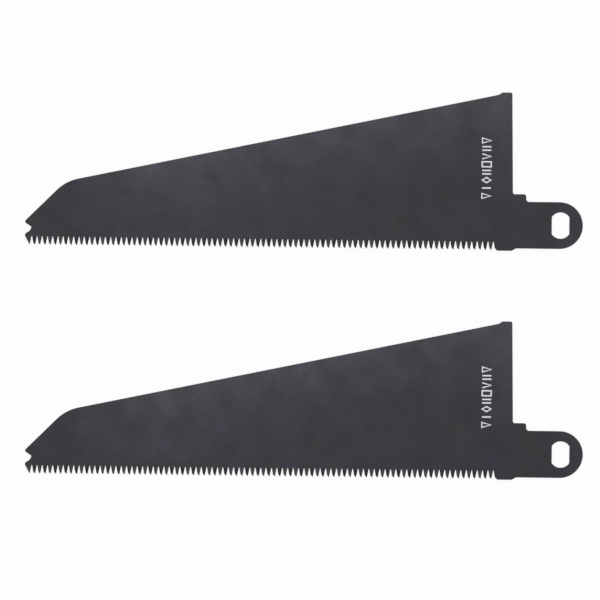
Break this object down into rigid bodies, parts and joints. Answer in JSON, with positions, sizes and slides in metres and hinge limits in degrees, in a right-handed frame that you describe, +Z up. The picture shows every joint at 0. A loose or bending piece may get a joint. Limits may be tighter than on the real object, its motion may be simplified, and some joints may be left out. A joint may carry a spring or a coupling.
{
  "type": "powered hand saw blades",
  "caption": "Flat stamped blades for a powered hand saw, each with a tapering body, tall crosscut teeth, a notched nose and a round-ended tang with an eye.",
  "frame": {"origin": "centre of the pair's bounding box, at the height of the lowest tooth points, where the pair lies on its surface", "axes": "+X along the blades from the nose to the tang, +Y in the plane of the blades from the teeth to the spine, +Z up out of the blades' faces"},
  "size_m": [0.2301, 0.159, 0.0018],
  "materials": {
    "black_coating": "satin black protective coat on steel"
  },
  "bodies": {
    "front_blade": {"front_blade": "black_coating"},
    "rear_blade": {"rear_blade": "black_coating"}
  },
  "joints": [
    {"name": "rear_blade_lift", "type": "slide", "parent": "front_blade", "child": "rear_blade", "axis": [0, 0, 1], "range_m": [0, 0.1]}
  ]
}
